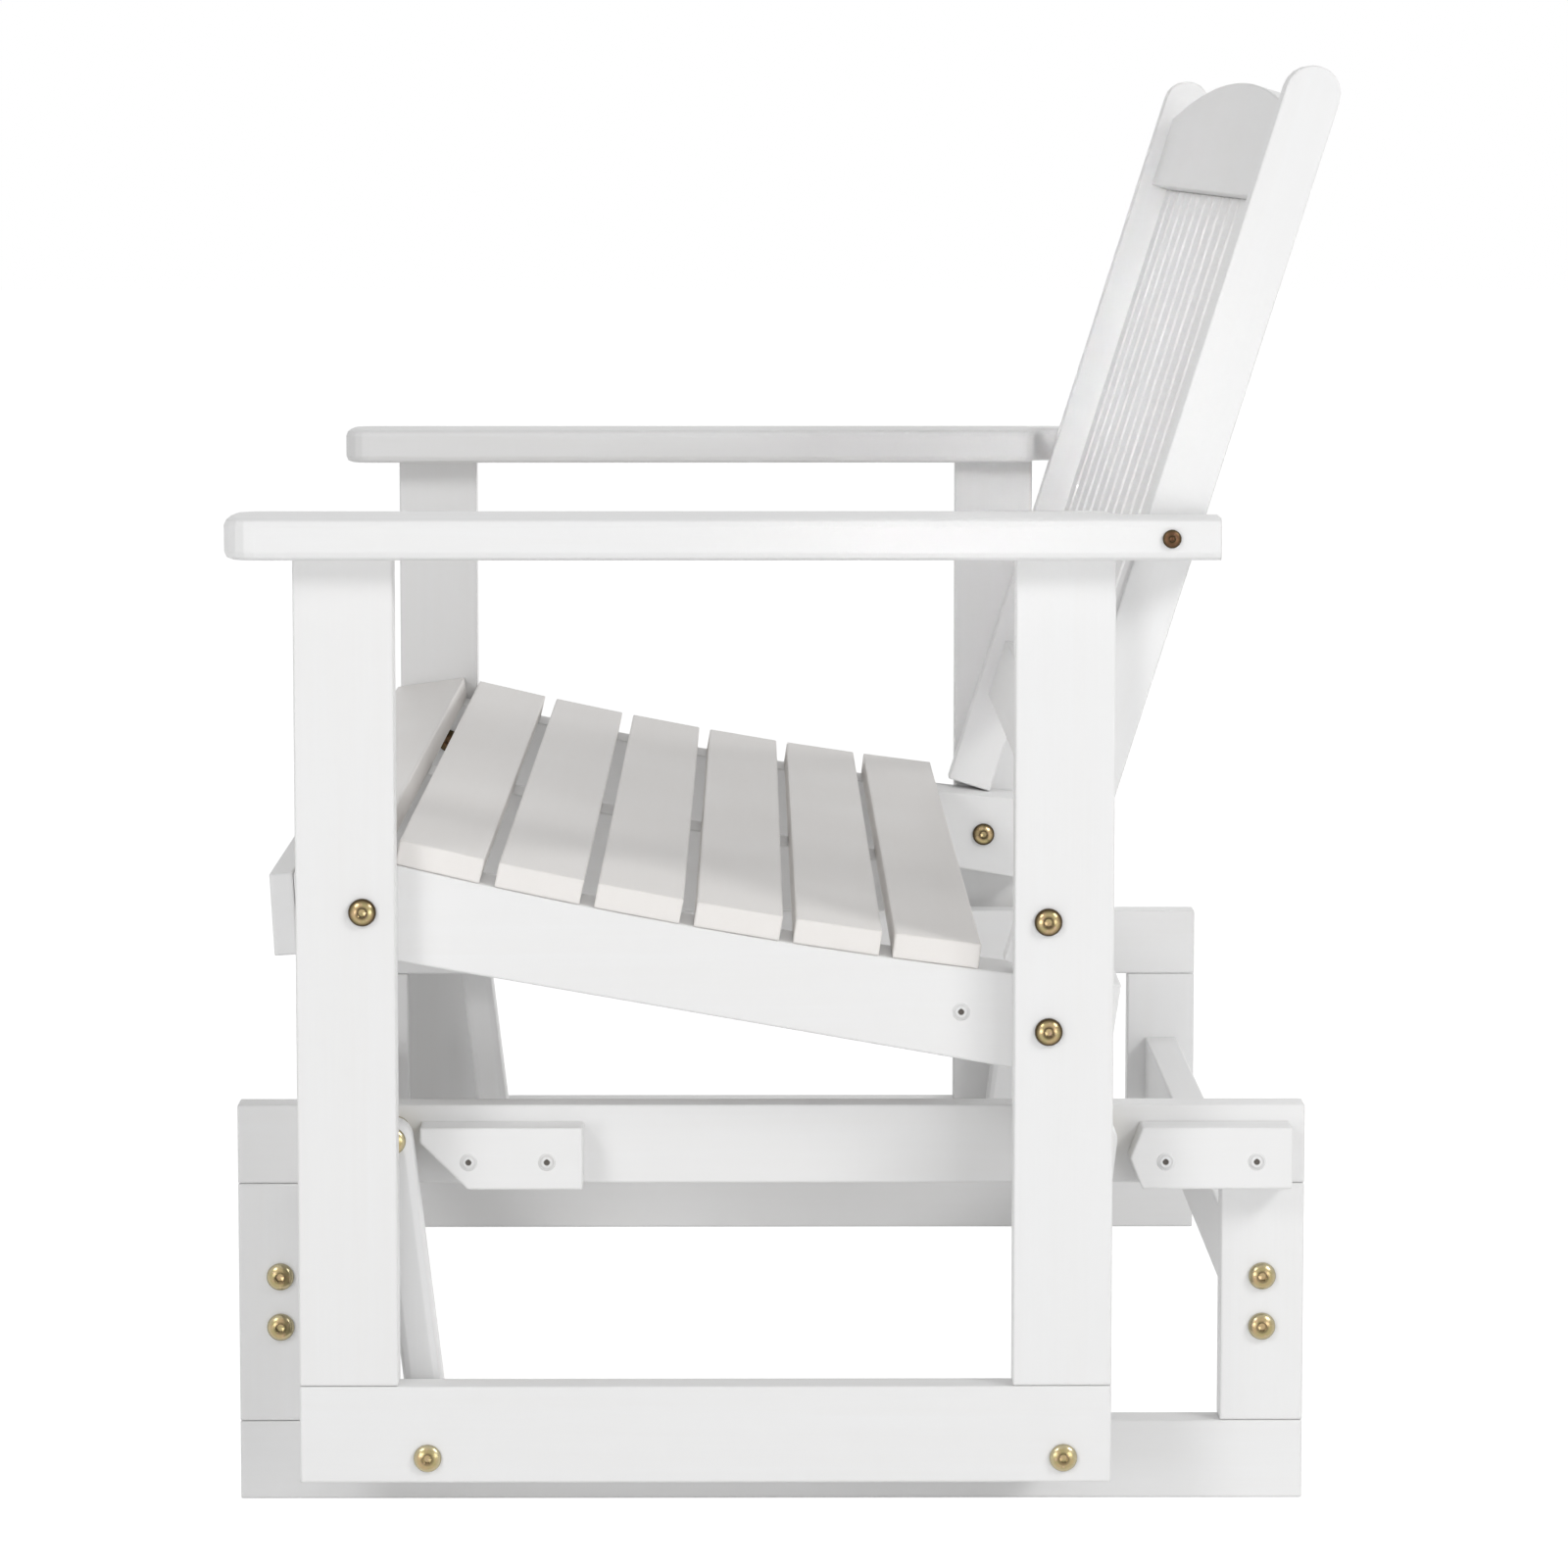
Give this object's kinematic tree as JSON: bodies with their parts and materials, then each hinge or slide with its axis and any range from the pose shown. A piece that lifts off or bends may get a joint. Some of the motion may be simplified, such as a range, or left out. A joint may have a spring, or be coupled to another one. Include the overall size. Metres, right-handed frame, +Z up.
{
  "type": "outdoor glider loveseat",
  "caption": "Painted wooden glider loveseat with a slatted seat and leaning back, hung on swinging links from a low base frame.",
  "frame": {"origin": "on the floor, at the middle of the loveseat's width and depth", "axes": "+X to the sitter's left, +Y to the back, +Z up; the front faces -Y"},
  "size_m": [1.1866, 0.7004, 0.9216],
  "materials": {
    "frame_paint": "satin white paint over a faint wood grain",
    "slat_paint": "satin off-white paint over a faint wood grain",
    "pivot_steel": "yellow zinc plating"
  },
  "bodies": {
    "base": {"base_bottom_rail_left": "frame_paint", "base_bottom_rail_right": "frame_paint", "base_top_rail_left": "frame_paint", "base_top_rail_right": "frame_paint", "base_post_front_left": "frame_paint", "base_post_front_right": "frame_paint", "base_post_rear_left": "frame_paint", "base_post_rear_right": "frame_paint", "base_stretcher_front": "frame_paint", "base_stretcher_rear": "frame_paint", "upper_pivot_bolt_front_left": "pivot_steel", "upper_pivot_bolt_front_right": "pivot_steel", "upper_pivot_bolt_rear_left": "pivot_steel", "upper_pivot_bolt_rear_right": "pivot_steel"},
    "front_links": {"front_link_left": "frame_paint", "front_link_right": "frame_paint"},
    "rear_links": {"rear_link_left": "frame_paint", "rear_link_right": "frame_paint"},
    "seat": {"glide_rail_left": "frame_paint", "glide_rail_right": "frame_paint", "leg_front_left": "frame_paint", "leg_front_right": "frame_paint", "leg_rear_left": "frame_paint", "leg_rear_right": "frame_paint", "arm_left": "frame_paint", "arm_right": "frame_paint", "seat_apron": "frame_paint", "seat_cross_rail": "frame_paint", "seat_stringer_left": "frame_paint", "seat_stringer_middle": "frame_paint", "seat_stringer_right": "frame_paint", "seat_slat_1": "slat_paint", "seat_slat_2": "slat_paint", "seat_slat_3": "slat_paint", "seat_slat_4": "slat_paint", "seat_slat_5": "slat_paint", "seat_slat_6": "slat_paint", "seat_slat_7": "slat_paint", "back_post_left": "frame_paint", "back_post_right": "frame_paint", "back_crest_rail": "frame_paint", "back_lower_rail": "frame_paint", "back_slat_01": "frame_paint", "back_slat_02": "frame_paint", "back_slat_03": "frame_paint", "back_slat_04": "frame_paint", "back_slat_05": "frame_paint", "back_slat_06": "frame_paint", "back_slat_07": "frame_paint", "back_slat_08": "frame_paint", "back_slat_09": "frame_paint", "back_slat_10": "frame_paint", "back_slat_11": "frame_paint", "back_slat_12": "frame_paint", "back_slat_13": "frame_paint", "back_slat_14": "frame_paint", "lower_pivot_bolt_front_left": "pivot_steel", "lower_pivot_bolt_front_right": "pivot_steel", "lower_pivot_bolt_rear_left": "pivot_steel", "lower_pivot_bolt_rear_right": "pivot_steel"}
  },
  "joints": [
    {"name": "front_link_swing", "type": "hinge", "parent": "base", "child": "front_links", "pos_m": [0, -0.2482, 0.2415], "axis": [1, 0, 0], "range_deg": [-20, 20]},
    {"name": "seat_hang", "type": "hinge", "parent": "front_links", "child": "seat", "pos_m": [0, -0.2247, 0.0449], "axis": [1, 0, 0], "range_deg": [-22.5, 22.5]},
    {"name": "rear_link_swing", "type": "hinge", "parent": "base", "child": "rear_links", "pos_m": [0, 0.2018, 0.2415], "axis": [1, 0, 0], "range_deg": [-20, 20]}
  ],
  "couplings": [
    {"joint": "seat_hang", "follows": "front_link_swing", "ratio": -1.115},
    {"joint": "rear_link_swing", "follows": "front_link_swing", "ratio": 1}
  ]
}
